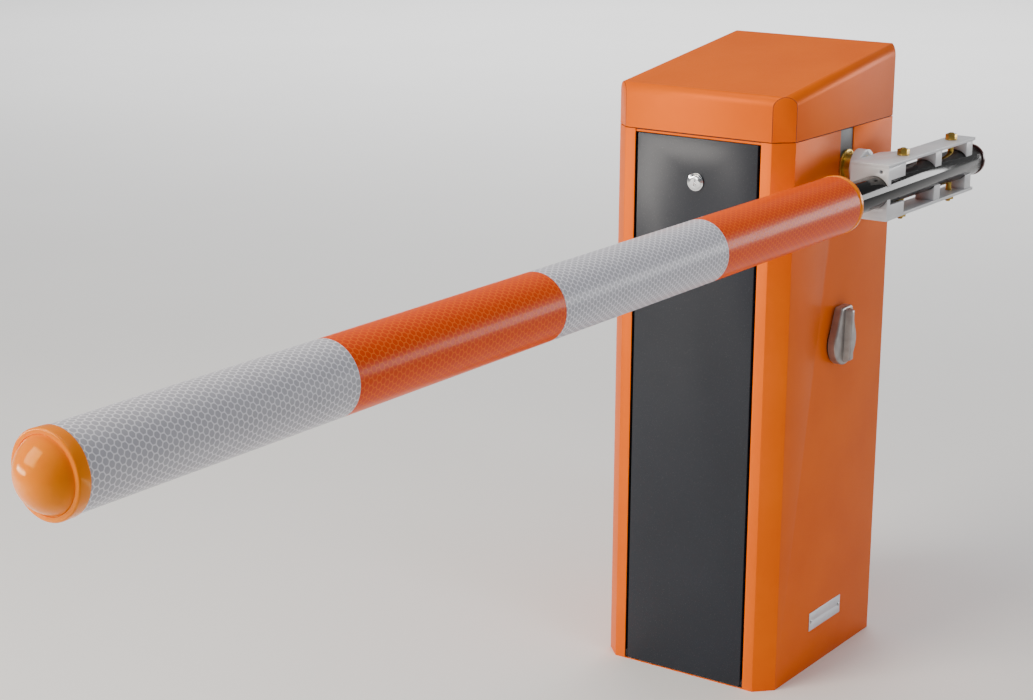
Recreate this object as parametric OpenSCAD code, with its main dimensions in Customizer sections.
// Parking barrier gate: a sheet-steel cabinet on a base plate, with a sloping lift-off lid,
// a lift-off front door, and a round boom on a shaft through the right-hand side.
// Inside, a geared motor turns a crank, and a rod carries the turn to a double lever on the
// boom shaft. Two tension springs under the lever's rear arm balance the boom.
// Frame: +Z up, +X the boom side, the door faces -Y, the closed boom points to -Y.
// The origin is the centre of the base plate's underside.

/* [Cabinet] */
// Width of the cabinet, left to right
cabinet_w = 320; // [280:5:400]
// Depth of the cabinet, front to back
cabinet_d = 396; // [360:5:500]
// Height of the body, from the ground to the lid seam
body_h = 910; // [860:5:1100]
// Leg of the flat on each vertical corner
corner_leg = 27.5; // [20:0.5:40]
// Thickness of the sheet steel
wall = 2; // [1.5:0.5:3]
// Thickness of the base plate
base_t = 8; // [6:1:12]

/* [Lid] */
// Height of the lid's front face, up to where it rounds over
lid_front_h = 53.5; // [40:0.5:80]
// Slope of the roof, in degrees
roof_angle = 7.35; // [0:0.05:10]
// Radius of the lid's rounded top edges
lid_round = 17; // [12:0.5:24]
// Height of the dark seam between body and lid
lid_seam = 1.5; // [1:0.5:3]

/* [Door] */
// Width of the door opening
opening_w = 228; // [180:2:250]
// Gap between the door and the opening, each side
door_gap = 5; // [3:0.5:8]
// Depth of the door's folded edges
door_fold = 12; // [10:1:16]
// Height of the sill under the door
sill_h = 1.5; // [1:0.5:4]
// Distance from the body's top down to the door's top
door_top_gap = 5; // [4:1:10]
// Distance from the body's top down to the lock's centre
lock_drop = 74; // [60:1:120]
// Diameter of the lock's face
lock_d = 29; // [22:1:34]

/* [Boom] */
// Distance from the shaft axis forward to the sleeve's rear end
sleeve_start = 195; // [180:5:260]
// Length of one reflective band
band_l = 400; // [250:10:600]
// Number of reflective bands
band_count = 4; // [4:1:4]
// Outside diameter over the reflective film
sleeve_d = 90; // [70:1:100]
// Thickness of the reflective film
film_t = 0.6; // [0.4:0.1:1]
// Wall of the sleeve
sleeve_wall = 2.5; // [2:0.5:4]
// Diameter of the inner tube
tube_d = 52; // [44:1:60]
// Wall of the inner tube
tube_wall = 3; // [2:0.5:5]
// Length of the inner tube inside the sleeve
tube_engage = 280; // [200:10:400]
// Distance from the shaft axis back to the tube's rear end
tube_tail = 318; // [300:2:400]
// Distance from the cabinet side to the boom's axis
boom_out = 78; // [74:1:110]
// Distance from the shaft axis down to the boom's axis
boom_drop = 25.6; // [0:0.2:40]

/* [Shaft and drive] */
// Height of the boom shaft above the ground
shaft_z = 850; // [820:5:860]
// Distance of the shaft behind the cabinet's centre
shaft_y = 5; // [-10:1:20]
// Diameter of the shaft between its bearings
shaft_d = 30; // [25:1:36]
// Diameter of the shaft outside its bearings
journal_d = 40; // [38:1:44]
// Radial running clearance of shafts, pins and bearings
run_gap = 0.05; // [0.03:0.01:0.1]
// Distance from the boom shaft down to the gearbox shaft
drive_drop = 330; // [300:5:360]
// Radius of the crank and of the lever's front arm
crank_r = 80; // [70:1:90]
// Radius of the lever's rear arm
spring_r = 90; // [70:1:92]
// Diameter of the linkage pins
pin_d = 12; // [10:1:14]
// Outside diameter of the balance springs
spring_d = 30; // [24:1:34]
// Diameter of the spring wire
spring_wire = 4; // [3:0.5:5]
// Turns in each balance spring
spring_turns = 18; // [12:1:24]

/* [Fixing to the ground] */
// Anchor hole spacing across the cabinet
anchor_x = 220; // [180:5:260]
// Anchor hole spacing along the cabinet
anchor_y = 300; // [240:5:330]
// Diameter of the anchor holes
anchor_d = 14; // [12:1:18]
// Diameter of the cable entry
entry_d = 60; // [40:2:80]

/* [Isolator switch] */
// Height of the isolator knob's axis
knob_z = 560; // [540:5:600]
// Radius of the knob's round part
knob_r = 38; // [30:1:42]
// Distance from the knob's axis to the end of its pointer
knob_reach = 60; // [45:1:70]

/* [Hidden] */
$fn = 64;
half_w = cabinet_w / 2;
half_d = cabinet_d / 2;
touch = 0.02;
face_gap = 0.3;

// Lid
lid_z = body_h + lid_seam;
flange_z1 = body_h - 1;
flange_z0 = flange_z1 - 3.5;
round_z = lid_z + lid_front_h;
roof_z = round_z + lid_round / cos(roof_angle) - lid_round * tan(roof_angle);
function roof_at(y) = roof_z + (y + half_d) * tan(roof_angle);
roof_top = roof_at(half_d) + 5;

// Door
door_w = opening_w - 2 * door_gap;
door_z0 = sill_h + 1.5;
frame_z0 = 1;
door_z1 = body_h - door_top_gap;
door_t = 1.5;
pivot_y = -half_d + 5;
pivot_z = door_z0 + 5;
pivot_pin_d = 6;
frame_y = -half_d + door_fold + 2.5;
lock_z = body_h - lock_drop;

entry_y = -half_d + 85;

// Drive frame: two cheeks, one each side of the linkage
cheek_t = 6;
cheek_left = -70;
cheek_right = 86;
cheek_y0 = -80;
cheek_y1 = 102;
cheek_top = shaft_z + 63;
cheek_z0 = base_t + 6;
lever_x = 5;
lever_t = 12;
rod_x = lever_x + lever_t + 1;
rod_t = 13;
arm_w = 28;

// Bearings, shafts and fixings
bearing_half = 40;
bearing_pitch = 30;
bearing_body_r = 29;
bearing_seat_r = 26;
output_r = 12.5;
stud_r = 8;
spindle_r = 5;
slot_half = 23;
lock_neck_r = 9.5;
nut_across = 17;
nut_h = 8;
gearbox_half = 60;
motor_h = 170;
cowl_h = 42;

// Linkage
diag = sqrt(0.5);
drive_z = shaft_z - drive_drop;
front_y = shaft_y - crank_r * diag;
rear_y = shaft_y + spring_r * diag;
rear_z = shaft_z + spring_r * diag;
hang = 45;
hook_z = rear_z - hang;
spring_x = [lever_x + lever_t / 2 - 35, lever_x + lever_t / 2 + 35];
anchor_z = 286;
spring_z0 = anchor_z + 34;
spring_z1 = hook_z - 18;
plug_h = 26;
plug_r = (spring_d - spring_wire) / 2 * cos(22.5) - spring_wire / 2 - touch;
collar_h = 4;

// Boom
boom_x = half_w + boom_out;
boom_z = shaft_z - boom_drop;
boom_y0 = shaft_y - sleeve_start;
tip_y = boom_y0 - band_l * band_count;
sleeve_r = sleeve_d / 2 - film_t;
tube_r = tube_d / 2;
tube_y0 = boom_y0 - tube_engage;
tube_y1 = shaft_y + tube_tail - 7;
bar_t = 5;
bar_gap = 14;
bar_z = tube_r + bar_gap;
bar_x0 = boom_x - 18;
bar_x1 = boom_x + 22;
web_x = half_w + 36;
web_t = 8;
bar_y0 = shaft_y - 57;
bar_y1 = shaft_y + 280;
bolt_y = [shaft_y + 45, shaft_y + 230];
bolt_d = 10;
bolt_gap = 0.5;

// ---- shared shapes ----

// Plan outline of the cabinet, moved in from the outside face by inset
module plan(inset) {
  w = half_w - inset;
  d = half_d - inset;
  c = corner_leg - inset * (2 - sqrt(2));
  polygon([
    [w - c, -d], [w, -d + c], [w, d - c], [w - c, d],
    [-w + c, d], [-w, d - c], [-w, -d + c], [-w + c, -d]
  ]);
}

// A box from its low and high corners
module block(low, high) {
  translate(low) cube(high - low);
}

// A round bar along +X, from x0 to x1
module bar_x(x0, x1, y, z, r) {
  translate([x0, y, z]) rotate([0, 90, 0]) cylinder(h = x1 - x0, r = r);
}

// A round bar along +Y, from y0 to y1
module bar_y(y0, y1, x, z, r) {
  translate([x, y0, z]) rotate([-90, 0, 0]) cylinder(h = y1 - y0, r = r);
}

// A hexagon head or nut on a vertical axis
module hexagon(x, y, z, across, height) {
  translate([x, y, z]) cylinder(h = height, r = across / sqrt(3), $fn = 6);
}

// A tube along +Y
module tube_y(y0, y1, x, z, r_out, r_in) {
  difference() {
    bar_y(y0, y1, x, z, r_out);
    bar_y(y0 - 1, y1 + 1, x, z, r_in);
  }
}

// Flat outline of an arm from point a to point b, with a hub at a and a round end at b
module arm(a, b, hub_r) {
  run = b - a;
  half = arm_w * 0.4;
  translate(a) circle(hub_r);
  translate(b) circle(arm_w / 2);
  translate(a) rotate(atan2(run[1], run[0])) translate([0, -half]) square([norm(run), 2 * half]);
}

// A route with its corners cut twice, so that it bends smoothly
function cut_corners(p) = [
  p[0], for (i = [0 : len(p) - 2]) each [p[i] * 0.75 + p[i + 1] * 0.25, p[i] * 0.25 + p[i + 1] * 0.75],
  p[len(p) - 1]
];

// An eight-sided cable swept along a route
module cable(route, r) {
  sides = 8;
  path = cut_corners(cut_corners(route));
  last = len(path) - 1;
  up = [0.3, 0.2, 1];
  points = [
    for (i = [0 : last])
      let (
        t = path[min(i + 1, last)] - path[max(i - 1, 0)],
        n = cross(t, up) / norm(cross(t, up)),
        m = cross(t, n) / norm(t)
      )
      for (j = [0 : sides - 1]) path[i] + r * (cos(j * 45) * n + sin(j * 45) * m)
  ];
  half_a = [
    for (i = [0 : last - 1], j = [0 : sides - 1])
      let (k = (j + 1) % sides) [i * sides + j, (i + 1) * sides + k, (i + 1) * sides + j]
  ];
  half_b = [
    for (i = [0 : last - 1], j = [0 : sides - 1])
      let (k = (j + 1) % sides) [i * sides + j, i * sides + k, (i + 1) * sides + k]
  ];
  near = [for (j = [1 : sides - 2]) [0, j + 1, j]];
  far = [for (j = [1 : sides - 2]) [last * sides, last * sides + j, last * sides + j + 1]];
  polyhedron(points, concat(half_a, half_b, near, far));
}

// One wire helix of five-sided wire, from z0 to z1
module helix(x, y, z0, z1, r, wire_r, turns) {
  steps = 8;
  sides = 5;
  rings = turns * steps;
  points = [
    for (i = [0 : rings], j = [0 : sides - 1])
      let (a = i * 360 / steps, b = j * 360 / sides, m = r + wire_r * cos(b))
        [x + m * cos(a), y + m * sin(a), z0 + (z1 - z0) * i / rings + wire_r * sin(b)]
  ];
  half_a = [
    for (i = [0 : rings - 1], j = [0 : sides - 1])
      let (k = (j + 1) % sides) [i * sides + j, (i + 1) * sides + j, (i + 1) * sides + k]
  ];
  half_b = [
    for (i = [0 : rings - 1], j = [0 : sides - 1])
      let (k = (j + 1) % sides) [i * sides + j, (i + 1) * sides + k, i * sides + k]
  ];
  first = [for (j = [1 : sides - 2]) [0, j, j + 1]];
  last = [for (j = [1 : sides - 2]) [rings * sides, rings * sides + j + 1, rings * sides + j]];
  polyhedron(points, concat(half_a, half_b, first, last));
}

// ---- cabinet ----

module cabinet_shell() {
  color("#d5601f") difference() {
    linear_extrude(body_h) plan(0);
    translate([0, 0, -1]) linear_extrude(flange_z0 + 1) plan(wall);
    translate([0, 0, -1]) linear_extrude(body_h + 2) plan(wall + 16);
    translate([0, 0, flange_z1]) linear_extrude(2) plan(wall);
    // door opening
    block([-opening_w / 2, -half_d - 1, sill_h], [opening_w / 2, -half_d + wall, body_h + 1]);
    // slot that the shaft drops into
    block([half_w - wall - 2.2, shaft_y - slot_half, shaft_z], [half_w + 1, shaft_y + slot_half, body_h + 1]);
    bar_x(half_w - wall - 2.2, half_w + 1, shaft_y, shaft_z, slot_half);
    // isolator neck
    bar_x(half_w - wall - 1, half_w + 1, 0, knob_z, 12 + touch);
  }
}

module base_plate() {
  color("#4a4d52") difference() {
    linear_extrude(base_t) plan(wall + touch);
    for (x = [-anchor_x / 2, anchor_x / 2], y = [-anchor_y / 2, anchor_y / 2])
      translate([x, y, -1]) cylinder(h = base_t + 2, d = anchor_d);
    translate([0, entry_y, -1]) cylinder(h = base_t + 2, d = entry_d);
    // room for the foot of the door frame
    block([-opening_w / 2 - wall, -half_d, -1], [opening_w / 2 + wall, frame_y + wall, base_t + 1]);
  }
}

module slot_plate() {
  x0 = half_w - wall - 2;
  x1 = half_w - wall - touch;
  color("#8d9196") difference() {
    union() {
      block([x0, shaft_y - 32, shaft_z - 36], [x1, shaft_y + 32, flange_z0]);
      block([x0, shaft_y - slot_half + 0.5, shaft_z], [x1, shaft_y + slot_half - 0.5, flange_z1]);
    }
    bar_x(half_w - wall - 3, half_w, shaft_y, shaft_z, journal_d / 2 + 1);
  }
}

module flange_ring() {
  color("#c9a53a") difference() {
    union() {
      bar_x(half_w, half_w + 4, shaft_y, shaft_z, 27);
      bar_x(half_w - wall, half_w + 1, shaft_y, shaft_z, slot_half - 0.5);
    }
    bar_x(half_w - wall - 1, half_w + 5, shaft_y, shaft_z, journal_d / 2 + face_gap);
  }
}

// Folded rebate behind the door opening, with an ear each side for the door's pivot pins
module door_frame() {
  out = opening_w / 2;
  ear_t = 3.5;
  color("#23252a") {
    difference() {
      block([-out - wall, -half_d + wall, frame_z0], [out + wall, frame_y + wall, flange_z0]);
      block([-out, -half_d, frame_z0 - 1], [out, frame_y, body_h]);
      block([-out + 14, frame_y - 1, base_t + 14], [out - 14, frame_y + wall + 1, body_h - 22]);
    }
    for (x = [-out, out - ear_t]) difference() {
      block([x, -half_d + wall, frame_z0], [x + ear_t, frame_y, pivot_z + 7]);
      bar_x(x - 1, x + ear_t + 1, pivot_y, pivot_z, pivot_pin_d / 2 + run_gap);
    }
  }
}

module lid_seal() {
  color("#3a1714") translate([0, 0, flange_z1]) difference() {
    linear_extrude(lid_z - flange_z1) plan(wall + 0.5);
    translate([0, 0, -1]) linear_extrude(lid_seam + 4) plan(wall + 11);
  }
}

module name_plate() {
  color("#dfe6ee") difference() {
    block([half_w + touch, -57, 66], [half_w + 1, 55, 98]);
    for (y = [-51, 49]) bar_x(half_w - 1, half_w + 2, y, 82, 1.6);
  }
}

// ---- lid ----

// Side outline of the lid, front to the left; its top corners are flats, which discs can round
module side_outline(d, r, drop, discs) {
  lower = drop + r / cos(roof_angle);
  lean = [-r * sin(roof_angle), r * cos(roof_angle)];
  front = [r - d, roof_at(r - d) - lower];
  back = [d - r, roof_at(d - r) - lower];
  polygon([[-d, lid_z - 1], [d, lid_z - 1], [d, back[1]], back + lean, front + lean, [-d, front[1]]]);
  if (discs) for (centre = [front, back]) translate(centre) circle(r);
}

// Front outline of the lid, upside down, with its top edge on the X axis
module front_outline(w, r, discs) {
  polygon([[-w, 500], [-w, r], [r - w, 0], [w - r, 0], [w, r], [w, 500]]);
  if (discs) for (x = [r - w, w - r]) translate([x, r]) circle(r);
}

// Solid lid, moved in from its outside faces by inset
module lid_form(inset, discs) {
  r = lid_round - inset;
  drop = inset / cos(roof_angle);
  intersection() {
    translate([0, 0, lid_z]) linear_extrude(roof_top - lid_z) plan(inset);
    rotate([90, 0, 90]) translate([0, 0, -half_w - 5]) linear_extrude(cabinet_w + 10)
      side_outline(half_d - inset, r, drop, discs);
    // carried along the roof's slope
    translate([0, -half_d, roof_z - drop]) rotate([roof_angle, 0, 0]) translate([0, -200, 0])
      rotate([-90, 0, 0]) linear_extrude(cabinet_d + 420) front_outline(half_w - inset, r, discs);
  }
}

module lid() {
  color("#dd7a35") difference() {
    lid_form(0, true);
    difference() {
      lid_form(wall, false);
      translate([0, 0, lid_z - 1]) linear_extrude(wall + 1) plan(0);
    }
    translate([0, 0, lid_z - 1]) linear_extrude(wall + 2) plan(wall + 12);
  }
}

// ---- door ----

module door_panel() {
  w = door_w / 2;
  y1 = -half_d + door_fold;
  color("#5b5e66") {
    difference() {
      block([-w, -half_d, door_z0], [w, y1, door_z1]);
      block([-w + door_t, -half_d + door_t, door_z0 + door_t], [w - door_t, y1 + 1, door_z1 - door_t]);
      bar_y(-half_d - 1, -half_d + 3, 0, lock_z, lock_neck_r + touch);
      for (x = [-w - 1, w - 3]) bar_x(x, x + 4, pivot_y, pivot_z, pivot_pin_d / 2 - 1);
    }
    // pivot pins
    for (x = [-w - 4.5, w - 8]) bar_x(x, x + 12.5, pivot_y, pivot_z, pivot_pin_d / 2);
    // stiffening channels, spot-welded to the back
    for (x = [-62, 62]) difference() {
      block([x - 15, -half_d + door_t, door_z0 + 60], [x + 15, y1 - 2, door_z1 - 60]);
      block([x - 13.5, -half_d + door_t - 1, door_z0 + 59], [x + 13.5, y1 - 3.5, door_z1 - 59]);
    }
  }
}

module door_seal() {
  w = door_w / 2;
  color("#1c1c1e") difference() {
    block([-w + 1, -half_d + door_fold + touch, door_z0 + 8], [w - 1, frame_y - face_gap, door_z1 - 6]);
    block([-w + 7, -half_d + door_fold - 1, door_z0 + 14], [w - 7, frame_y + 1, door_z1 - 12]);
  }
}

module lock_barrel() {
  color("#d9dbde") difference() {
    union() {
      bar_y(-half_d - 3, -half_d - touch, 0, lock_z, lock_d / 2);
      bar_y(-half_d - 4, -half_d - 2, 0, lock_z, lock_d / 2 - 3);
      bar_y(-half_d - 1, -half_d + 18, 0, lock_z, lock_neck_r);
    }
    block([-1.2, -half_d - 5, lock_z - 4.5], [1.2, -half_d - 1.5, lock_z + 4.5]);
  }
}

// Tongue on the back of the lock; it lies sideways when unlocked and turns up behind the header
module lock_cam() {
  y0 = -half_d + 18;
  tongue = 62;
  color("#b9a15a") {
    bar_y(y0, y0 + 3, 0, lock_z, 11);
    bar_y(y0, y0 + 3, tongue - 9, lock_z, 9);
    block([0, y0, lock_z - 9], [tongue - 9, y0 + 3, lock_z + 9]);
    bar_y(y0 + 3, y0 + 8, 0, lock_z, 6);
  }
}

// ---- drive frame and what it carries ----

module cheek_holes(x) {
  bar_x(x - 1, x + cheek_t + 1, shaft_y, shaft_z, bearing_seat_r);
  for (y = [-bearing_pitch, bearing_pitch], z = [-bearing_pitch, bearing_pitch])
    bar_x(x - 1, x + cheek_t + 1, shaft_y + y, shaft_z + z, 4.3);
}

foot_bolts = [
  for (x = [cheek_left - 18, cheek_right + cheek_t + 18], y = [cheek_y0 + 20, cheek_y1 - 22]) [x, y]
];

module drive_frame() {
  color("#6f757c") difference() {
    union() {
      for (x = [cheek_left, cheek_right]) {
        block([x, cheek_y0, base_t], [x + cheek_t, cheek_y1, cheek_top]);
        for (z = [200, 380]) block([x, panel_y + 2, z], [x + cheek_t, cheek_y0 + 1, z + 40]);
      }
      block([cheek_left, cheek_y1 - 6, base_t], [cheek_right + cheek_t, cheek_y1, shaft_z - 150]);
      block([cheek_left - 32, cheek_y0, base_t], [cheek_right + cheek_t + 32, cheek_y1, cheek_z0]);
    }
    cheek_holes(cheek_left);
    cheek_holes(cheek_right);
    bar_x(cheek_left - 1, cheek_left + cheek_t + 1, shaft_y, drive_z, 20);
    for (p = foot_bolts) translate([p[0], p[1], base_t - 1]) cylinder(h = 8, r = 5.5);
  }
}

module frame_bolts() {
  color("#b8bcc2") {
    for (p = foot_bolts) {
      hexagon(p[0], p[1], cheek_z0, nut_across, 6.4);
      translate([p[0], p[1], base_t]) cylinder(h = cheek_z0 - base_t + 1, r = 5);
    }
    for (y = [-bearing_pitch, bearing_pitch], z = [-bearing_pitch, bearing_pitch])
      translate([0, shaft_y + y, shaft_z + z]) {
        bar_x(cheek_left - 8, cheek_left + cheek_t, 0, 0, 4);
        bar_x(cheek_right, cheek_right + cheek_t + 8, 0, 0, 4);
        for (x = [cheek_left - 13, cheek_right + cheek_t + 8])
          translate([x, 0, 0]) rotate([0, 90, 0]) cylinder(h = 5, r = 7.5, $fn = 6);
      }
  }
}

// Flanged bearing on one face of a cheek; side is the way it stands off the cheek
module flange_bearing(x, side) {
  far = x + side * 24;
  plate = [min(x, x + side * 8), max(x, x + side * 8)];
  difference() {
    union() {
      translate([plate[0], shaft_y - bearing_half, shaft_z - bearing_half])
        cube([plate[1] - plate[0], 2 * bearing_half, 2 * bearing_half]);
      bar_x(min(x, far), max(x, far), shaft_y, shaft_z, bearing_body_r);
      bar_x(min(x, x - side * cheek_t), max(x, x - side * cheek_t), shaft_y, shaft_z, bearing_seat_r - touch);
    }
    bar_x(min(x, far) - 10, max(x, far) + 10, shaft_y, shaft_z, shaft_d / 2 + run_gap);
    for (y = [-bearing_pitch, bearing_pitch], z = [-bearing_pitch, bearing_pitch])
      bar_x(x - 10, x + 10, shaft_y + y, shaft_z + z, 4 + touch);
  }
}

module bearing_left() {
  color("#4b5157") flange_bearing(cheek_left, -1);
}

module bearing_right() {
  color("#4b5157") flange_bearing(cheek_right + cheek_t, 1);
}

module gearbox() {
  x1 = cheek_left;
  color("#5d646b") difference() {
    union() {
      block([x1 - 80, shaft_y - 50, drive_z - gearbox_half], [x1 - 6, shaft_y + 50, drive_z + gearbox_half]);
      bar_x(x1 - 84, x1, shaft_y, drive_z, 44);
      bar_x(x1, x1 + cheek_t, shaft_y, drive_z, 20 - touch);
    }
    bar_x(x1 - 60, x1 + cheek_t + 1, shaft_y, drive_z, output_r + run_gap);
  }
}

module gearbox_shaft() {
  color("#c3c7cc") bar_x(cheek_left - 58, lever_x + lever_t + 0.5, shaft_y, drive_z, output_r);
}

motor_x = cheek_left - 43;
motor_top = drive_z - gearbox_half;

module motor() {
  color("#31506f") difference() {
    union() {
      translate([motor_x, shaft_y, motor_top - motor_h]) cylinder(h = motor_h, r = 38);
      translate([motor_x, shaft_y, motor_top - 12]) cylinder(h = 12, r = 41);
      block([motor_x - 22, shaft_y - 52, motor_top - 90], [motor_x + 22, shaft_y - 30, motor_top - 40]);
    }
    for (i = [0 : 8]) translate([motor_x, shaft_y, motor_top - 158 + i * 16])
      rotate_extrude() translate([36, 0]) square([6, 6]);
  }
}

module motor_fan_cowl() {
  color("#25282c") translate([motor_x, shaft_y, motor_top - motor_h - cowl_h]) difference() {
    cylinder(h = cowl_h - touch, r = 41);
    translate([0, 0, 3]) cylinder(h = cowl_h, r = 39);
    for (i = [0 : 7]) rotate([0, 0, i * 45]) translate([12, -3, -1]) cube([22, 6, 6]);
  }
}

// Wedge under the shaft; its two sloping faces carry the rubber buffers
stop_s = 50;
stop_h = 14;
stop_0 = arm_w * 0.4 + face_gap;

module stop_block() {
  near = (36 + stop_0 + stop_h) * diag;
  inner = (36 - stop_0 - stop_h) * diag;
  low = (62 + stop_0 + stop_h) * diag;
  outer = (62 - stop_0 - stop_h) * diag;
  color("#7b828a") translate([cheek_left + cheek_t, shaft_y, shaft_z]) rotate([90, 0, 90])
    linear_extrude(lever_x + lever_t + 2 - cheek_left - cheek_t)
      polygon([
        [-inner, -near], [inner, -near], [outer, -low],
        [outer, -low - 14], [-outer, -low - 14], [-outer, -low]
      ]);
}

module stop_buffers() {
  color("#1b1b1d") for (side = [-1, 1])
    translate([lever_x + lever_t / 2, shaft_y, shaft_z]) rotate([side > 0 ? -45 : -135, 0, 0])
      translate([0, stop_s, side > 0 ? -stop_0 - stop_h : stop_0]) cylinder(h = stop_h, r = 9);
}

module spring_anchor() {
  color("#7b828a") difference() {
    block([cheek_left + cheek_t, rear_y - 13, anchor_z - 6], [cheek_right, rear_y + 13, anchor_z + 6]);
    for (x = spring_x) translate([x, rear_y, anchor_z - 7]) cylinder(h = 14, r = 5 + touch);
  }
}

// A plug screwed into the end coils of a spring, with a collar that the coils bear on
module spring_plug(x, z, up) {
  translate([x, rear_y, up > 0 ? z : z - plug_h]) cylinder(h = plug_h, r = plug_r);
  translate([x, rear_y, up > 0 ? z - collar_h : z]) cylinder(h = collar_h, r = spring_d / 2);
}

module spring_adjusters() {
  color("#c9a53a") for (x = spring_x) {
    translate([x, rear_y, anchor_z - 40]) cylinder(h = spring_z0 - anchor_z + 40, r = 5);
    spring_plug(x, spring_z0, 1);
    hexagon(x, rear_y, anchor_z - 14, nut_across, nut_h);
    hexagon(x, rear_y, anchor_z + 6, nut_across, nut_h);
  }
}

module balance_springs() {
  r = spring_wire / 2;
  color("#2c2e33") for (x = spring_x)
    helix(x, rear_y, spring_z0 + r, spring_z1 - r, spring_d / 2 - r, r, spring_turns);
}

module limit_switches() {
  color("#1f4f8a") {
    block([cheek_left - 54, shaft_y - 38, shaft_z + 60], [cheek_left, shaft_y + 38, shaft_z + 63]);
    for (y = [shaft_y - 32, shaft_y + 10]) {
      block([cheek_left - 48, y, shaft_z + 42], [cheek_left - 32, y + 22, shaft_z + 60]);
      bar_x(cheek_left - 44, cheek_left - 36, y + 11, shaft_z + 41, 4);
    }
  }
}

module limit_cam() {
  color("#d9b23c") difference() {
    bar_x(cheek_left - 46, cheek_left - 34, shaft_y, shaft_z, 33);
    bar_x(cheek_left - 47, cheek_left - 33, shaft_y, shaft_z, shaft_d / 2 + touch);
    block([cheek_left - 41, shaft_y - 40, shaft_z - 40], [cheek_left - 33, shaft_y - 2, shaft_z - 22]);
  }
}

// ---- electrical parts on a panel behind the door ----

panel_y = -130;

module control_panel() {
  color("#c9cdd1") block([-110, panel_y, 150], [110, panel_y + 2 - touch, 450]);
}

module control_unit() {
  color("#26282c") {
    block([-100, panel_y - 40, 300], [25, panel_y - touch, 430]);
    block([-94, panel_y - 44, 380], [-40, panel_y - 39, 420]);
    for (i = [0 : 5]) bar_y(panel_y - 43, panel_y - 39, -88 + i * 10, 365, 2.5);
  }
}

module terminal_block() {
  color("#6a8f57") difference() {
    block([-100, panel_y - 24, 168], [90, panel_y - touch, 192]);
    for (i = [0 : 17]) translate([-95 + i * 10.5, panel_y - 25, 176]) cube([6, 8, 8]);
  }
}

module transformer() {
  color("#8c5a2b") {
    block([40, panel_y - 44, 300], [100, panel_y - touch, 372]);
    bar_y(panel_y - 48, panel_y - 43, 70, 336, 22);
  }
}

module circuit_breaker() {
  color("#d7dadd") {
    block([-100, panel_y - 7, 225], [100, panel_y - touch, 260]);
    for (i = [0 : 2]) {
      block([-20 + i * 18, panel_y - 46, 215], [-20 + i * 18 + 17.6, panel_y - 6, 270]);
      block([-20 + i * 18 + 5, panel_y - 52, 238], [-20 + i * 18 + 12, panel_y - 45, 250]);
    }
  }
}

module internal_cables() {
  color("#17181a") {
    cable([
      [motor_x, shaft_y - 52, 415], [motor_x, -85, 415], [-105, -115, 460],
      [-70, -150, 470], [-70, -150, 430]
    ], 4);
    cable([
      [130, 0, knob_z - 24], [130, 0, 510], [122, -100, 475],
      [100, -145, 465], [70, -150, 455], [70, -150, 372]
    ], 4);
  }
}

// ---- isolator switch on the cabinet's side ----

module isolator_switch() {
  color("#2b2d31") difference() {
    union() {
      block([112, -24, knob_z - 24], [half_w - wall - touch, 24, knob_z + 24]);
      bar_x(half_w - wall - 1, half_w + 1, 0, knob_z, 12);
      bar_x(half_w + touch, half_w + 3, 0, knob_z, knob_r - 2);
    }
    bar_x(122, half_w + 4, 0, knob_z, spindle_r + run_gap);
  }
}

module isolator_spindle() {
  color("#b8bcc2") bar_x(124, half_w + 12, 0, knob_z, spindle_r);
}

module isolator_knob() {
  x0 = half_w + 3 + face_gap;
  color("#8f8478") difference() {
    union() {
      bar_x(x0, x0 + 14, 0, knob_z, knob_r);
      translate([x0, 0, knob_z]) rotate([90, 0, 90]) linear_extrude(14) polygon([
        [-34, 17], [-20, knob_reach - 4], [-16, knob_reach],
        [16, knob_reach], [20, knob_reach - 4], [34, 17]
      ]);
      translate([x0, 0, knob_z]) rotate([90, 0, 90]) linear_extrude(25)
        polygon([[-9, 4 - knob_r], [9, 4 - knob_r], [7, knob_reach - 2], [-7, knob_reach - 2]]);
    }
    bar_x(x0 - 1, half_w + 12.5, 0, knob_z, spindle_r + touch);
    block([x0 + 9, -14, knob_z + knob_reach - 20], [x0 + 15, -9.5, knob_z + knob_reach - 10]);
  }
}

// ---- boom shaft and linkage ----

module main_shaft() {
  color("#8e8b45") {
    bar_x(cheek_left - 48, cheek_right + cheek_t + 25, shaft_y, shaft_z, shaft_d / 2);
    bar_x(cheek_right + cheek_t + 24.5, web_x, shaft_y, shaft_z, journal_d / 2);
    bar_x(web_x - 1, web_x + web_t + 8, shaft_y, shaft_z, stud_r);
  }
}

module double_lever() {
  color("#9aa0a6") difference() {
    union() {
      translate([lever_x, 0, 0]) rotate([90, 0, 90]) linear_extrude(lever_t) {
        arm([shaft_y, shaft_z], [front_y, shaft_z - crank_r * diag], 26);
        arm([shaft_y, shaft_z], [rear_y, rear_z], 26);
      }
      bar_x(lever_x - 9, lever_x + lever_t + 9, shaft_y, shaft_z, 24);
    }
    bar_x(lever_x - 10, lever_x + lever_t + 10, shaft_y, shaft_z, shaft_d / 2 + touch);
    bar_x(lever_x - 1, lever_x + lever_t + 1, front_y, shaft_z - crank_r * diag, pin_d / 2 + touch);
    bar_x(lever_x - 1, lever_x + lever_t + 1, rear_y, rear_z, pin_d / 2 + touch);
  }
}

module lever_pins() {
  end = rod_x + rod_t + 0.5;
  color("#c3c7cc") {
    bar_x(lever_x, end, front_y, shaft_z - crank_r * diag, pin_d / 2);
    bar_x(end - touch, end + 3, front_y, shaft_z - crank_r * diag, pin_d / 2 + 3);
    bar_x(lever_x - 6, lever_x + lever_t + 6, rear_y, rear_z, pin_d / 2);
    bar_x(lever_x - 9, lever_x - 6 + touch, rear_y, rear_z, pin_d / 2 + 3);
    bar_x(lever_x + lever_t + 6 - touch, lever_x + lever_t + 9, rear_y, rear_z, pin_d / 2 + 3);
  }
}

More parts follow.
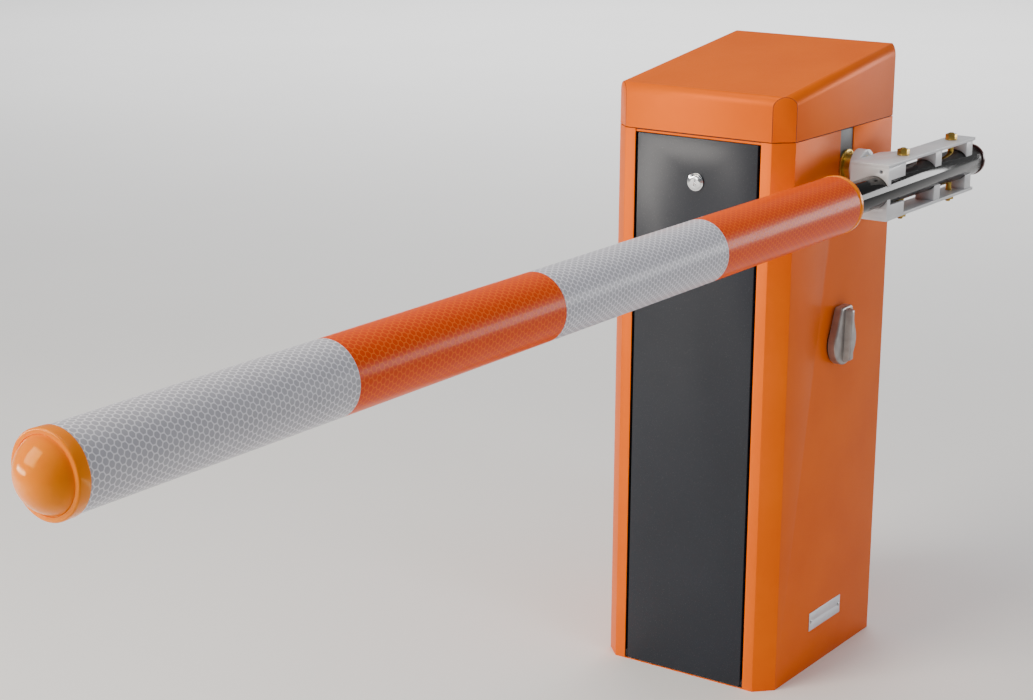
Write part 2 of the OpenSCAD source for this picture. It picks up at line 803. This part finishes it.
module crank_arm() {
  pin_z = drive_z - crank_r * diag;
  end = rod_x + rod_t + 0.5;
  color("#9aa0a6") {
    difference() {
      union() {
        translate([lever_x, 0, 0]) rotate([90, 0, 90]) linear_extrude(lever_t)
          arm([shaft_y, drive_z], [front_y, pin_z], 24);
        bar_x(lever_x - 10, lever_x + 1, shaft_y, drive_z, 22);
      }
      bar_x(lever_x - 11, lever_x + lever_t + 1, shaft_y, drive_z, output_r + touch);
    }
    bar_x(lever_x + lever_t - 1, end, front_y, pin_z, pin_d / 2);
    bar_x(end - touch, end + 3, front_y, pin_z, pin_d / 2 + 3);
  }
}

module drive_rod() {
  z0 = drive_z - crank_r * diag;
  z1 = shaft_z - crank_r * diag;
  x = rod_x + rod_t / 2;
  color("#b8bcc2") difference() {
    union() {
      for (z = [z0, z1]) bar_x(rod_x, rod_x + rod_t, front_y, z, 13);
      translate([x, front_y, z0 + 8]) cylinder(h = z1 - z0 - 16, r = 5);
      // lock nuts, each with a flat towards the arms
      for (z = [z0 + 14, z1 - 22]) translate([x, front_y, 0]) rotate(30) hexagon(0, 0, z, 14, 8);
      translate([x, front_y, z0 + 30]) cylinder(h = z1 - z0 - 60, r = 7);
    }
    for (z = [z0, z1]) bar_x(rod_x - 1, rod_x + rod_t + 1, front_y, z, pin_d / 2 + run_gap);
  }
}

module spring_hanger() {
  color("#c9a53a") {
    for (x = [lever_x - 5.5, lever_x + lever_t + 0.5]) difference() {
      union() {
        bar_x(x, x + 5, rear_y, rear_z, 12);
        bar_x(x, x + 5, rear_y, hook_z, 10);
        block([x, rear_y - 10, hook_z], [x + 5, rear_y + 10, rear_z]);
      }
      bar_x(x - 1, x + 6, rear_y, rear_z, pin_d / 2 + run_gap);
    }
    bar_x(spring_x[0] - 9, spring_x[1] + 9, rear_y, hook_z, 6);
    for (x = spring_x) {
      spring_plug(x, spring_z1, -1);
      translate([x, rear_y, spring_z1]) cylinder(h = hook_z - spring_z1, r = 5);
    }
  }
}

// ---- clamp between shaft and boom ----

// Outline of the clamp bar, seen from above: wide over the casting, narrow behind it
module bar_plan() {
  difference() {
    polygon([
      [web_x, bar_y0], [bar_x1 + 2, bar_y0], [bar_x1, shaft_y + 10], [bar_x1, bar_y1],
      [bar_x0, bar_y1], [bar_x0, shaft_y + 80], [web_x, shaft_y + 45]
    ]);
    for (y = bolt_y) translate([boom_x, y]) circle(bolt_d / 2 + bolt_gap);
  }
}

module clamp_top_bar() {
  color("#dfe1e3") translate([0, 0, boom_z + bar_z]) linear_extrude(bar_t) bar_plan();
}

module clamp_bottom_bar() {
  color("#dfe1e3") translate([0, 0, boom_z - bar_z - bar_t]) linear_extrude(bar_t) bar_plan();
}

// Casting on the end of the shaft: boss, web, and a saddle above and below the tube
module clamp_hub() {
  color("#d3d6d9") difference() {
    union() {
      bar_x(web_x - 16, web_x, shaft_y, shaft_z, 30);
      block([web_x, bar_y0, boom_z - bar_z], [web_x + web_t, shaft_y + 45, boom_z + bar_z]);
      for (side = [-1, 1]) {
        low = side > 0 ? boom_z + 9 : boom_z - bar_z;
        high = side > 0 ? boom_z + bar_z : boom_z - 9;
        block([web_x, bar_y0, low], [bar_x1 + 2, bar_y0 + 11, high]);
      }
      for (side = [-1, 1]) {
        low = side > 0 ? boom_z + tube_r - 6 : boom_z - bar_z;
        high = side > 0 ? boom_z + bar_z : boom_z - tube_r + 6;
        block([bar_x1 - 4, bar_y0 + 10, low], [bar_x1 + 2, bar_y0 + 62, high]);
      }
    }
    bar_x(web_x - 17, web_x, shaft_y, shaft_z, journal_d / 2 + touch);
    bar_x(web_x - 1, web_x + web_t + 1, shaft_y, shaft_z, stud_r + touch);
    bar_y(bar_y0 - 1, shaft_y + 60, boom_x, boom_z, tube_r + touch);
    bar_y(bar_y0 - 1, bar_y0 + 12, bar_x1 - 11, boom_z + bar_z - 7, 3);
  }
}

// Blocks that seat the narrow part of each bar on the tube
module clamp_feet() {
  color("#dfe1e3") for (side = [-1, 1], y = [shaft_y + 125, shaft_y + 248]) difference() {
    low = side > 0 ? boom_z + 14 : boom_z - bar_z;
    high = side > 0 ? boom_z + bar_z : boom_z - 14;
    block([boom_x - 12, y, low], [bar_x1 - 1, y + 24, high]);
    bar_y(y - 1, y + 25, boom_x, boom_z, tube_r + touch);
  }
}

module clamp_bolts() {
  top = boom_z + bar_z + bar_t;
  bottom = boom_z - bar_z - bar_t;
  color("#c9a53a") {
    for (y = bolt_y) {
      translate([boom_x, y, bottom - 14]) cylinder(h = top - bottom + 26, r = bolt_d / 2);
      for (z = [top, bottom - 2]) translate([boom_x, y, z]) cylinder(h = 2, r = 10);
      hexagon(boom_x, y, top + 2, nut_across, nut_h);
      hexagon(boom_x, y, bottom - 10, nut_across, nut_h);
    }
    difference() {
      bar_x(web_x + web_t, web_x + web_t + 6, shaft_y, shaft_z, 12);
      bar_x(web_x + web_t - 1, web_x + web_t + 9, shaft_y, shaft_z, stud_r + touch);
    }
  }
}

// ---- boom ----

module boom_tube() {
  color("#141416") difference() {
    tube_y(tube_y0, tube_y1, boom_x, boom_z, tube_r, tube_r - tube_wall);
    for (y = bolt_y) translate([boom_x, y, boom_z - tube_r - 5])
      cylinder(h = tube_d + 10, r = bolt_d / 2 + bolt_gap);
  }
}

module tube_end_cap() {
  color("#5a1c14") {
    bar_y(tube_y1, tube_y1 + 5, boom_x, boom_z, tube_r + 1);
    bar_y(tube_y1 + 4, tube_y1 + 7, boom_x, boom_z, tube_r - 2);
    bar_y(tube_y1 - 18, tube_y1 + 1, boom_x, boom_z, tube_r - tube_wall - touch);
  }
}

module boom_sleeve() {
  color("#e8701c") tube_y(tip_y, boom_y0, boom_x, boom_z, sleeve_r, sleeve_r - sleeve_wall);
}

module sleeve_spacers() {
  color("#2a2a2c") for (y = [tube_y0 + 10, boom_y0 - 70])
    tube_y(y, y + 30, boom_x, boom_z, sleeve_r - sleeve_wall - touch, tube_r + touch);
}

module sleeve_end_ring() {
  color("#e0641a") difference() {
    union() {
      bar_y(boom_y0, boom_y0 + 4, boom_x, boom_z, sleeve_d / 2 - 1);
      bar_y(boom_y0 + 3, boom_y0 + 12, boom_x, boom_z, sleeve_d / 2 + 0.6);
      bar_y(boom_y0 - 20, boom_y0 + 1, boom_x, boom_z, sleeve_r - sleeve_wall - touch);
    }
    bar_y(boom_y0 - 21, boom_y0 + 13, boom_x, boom_z, tube_r + touch);
  }
}

// One band of film; index 0 is at the tip
module film(index) {
  y0 = tip_y + index * band_l;
  tube_y(y0, y0 + band_l, boom_x, boom_z, sleeve_d / 2, sleeve_r + touch);
}

module film_silver_tip() {
  color("#b4b4bb") film(0);
}

module film_orange_mid() {
  color("#cf5a1c") film(1);
}

module film_silver_mid() {
  color("#b4b4bb") film(2);
}

module film_orange_root() {
  color("#cf5a1c") film(3);
}

// Domed plug with a raised rim
module boom_tip_cap() {
  rim = 16;
  dome_h = 26;
  dome_r = sleeve_d / 2 - 1;
  ball = (dome_r * dome_r + dome_h * dome_h) / (2 * dome_h);
  color("#f08a1f") {
    bar_y(tip_y - rim, tip_y, boom_x, boom_z, sleeve_d / 2 + 1.5);
    bar_y(tip_y - 1, tip_y + 30, boom_x, boom_z, sleeve_r - sleeve_wall - touch);
    intersection() {
      translate([boom_x, tip_y - rim - dome_h + ball, boom_z]) sphere(ball);
      bar_y(tip_y - rim - dome_h - 1, tip_y - rim + 1, boom_x, boom_z, dome_r);
    }
  }
}

// ---- the whole gate ----

cabinet_shell();
base_plate();
slot_plate();
flange_ring();
door_frame();
lid_seal();
name_plate();
drive_frame();
frame_bolts();
bearing_left();
bearing_right();
gearbox();
motor();
motor_fan_cowl();
stop_block();
stop_buffers();
spring_anchor();
spring_adjusters();
balance_springs();
limit_switches();
control_panel();
control_unit();
terminal_block();
transformer();
circuit_breaker();
isolator_switch();
internal_cables();
main_shaft();
double_lever();
lever_pins();
limit_cam();
clamp_hub();
clamp_top_bar();
clamp_bottom_bar();
clamp_feet();
clamp_bolts();
boom_tube();
tube_end_cap();
boom_sleeve();
sleeve_spacers();
sleeve_end_ring();
film_silver_tip();
film_orange_mid();
film_silver_mid();
film_orange_root();
boom_tip_cap();
crank_arm();
gearbox_shaft();
drive_rod();
spring_hanger();
door_panel();
door_seal();
lock_barrel();
lock_cam();
lid();
isolator_knob();
isolator_spindle();
